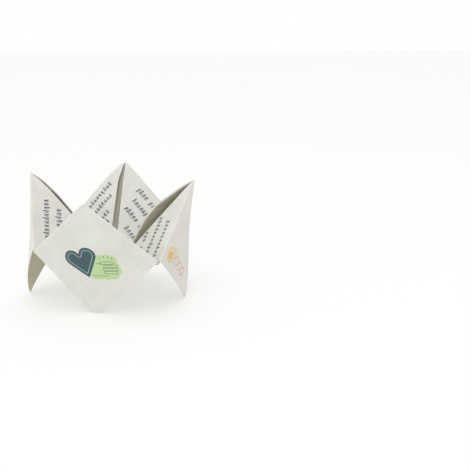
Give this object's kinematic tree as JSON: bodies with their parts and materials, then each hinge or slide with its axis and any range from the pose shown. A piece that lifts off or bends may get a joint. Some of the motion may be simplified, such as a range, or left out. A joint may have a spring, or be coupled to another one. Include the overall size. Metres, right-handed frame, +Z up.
{
  "type": "paper fortune teller",
  "caption": "Square sheet of paper folded into a standing four-quarter finger game, open at the top, with pockets underneath and printed shapes on its faces",
  "frame": {"origin": "middle of the bounding box, on the surface that the four corner feet stand on", "axes": "+Z up, -Y towards the front quarter, which carries the heart, +X to the right as the front is looked at"},
  "size_m": [0.1033, 0.1026, 0.0722],
  "materials": {
    "paper": "matte"
  },
  "bodies": {
    "root": {"folded_sheet": "paper"}
  },
  "joints": []
}
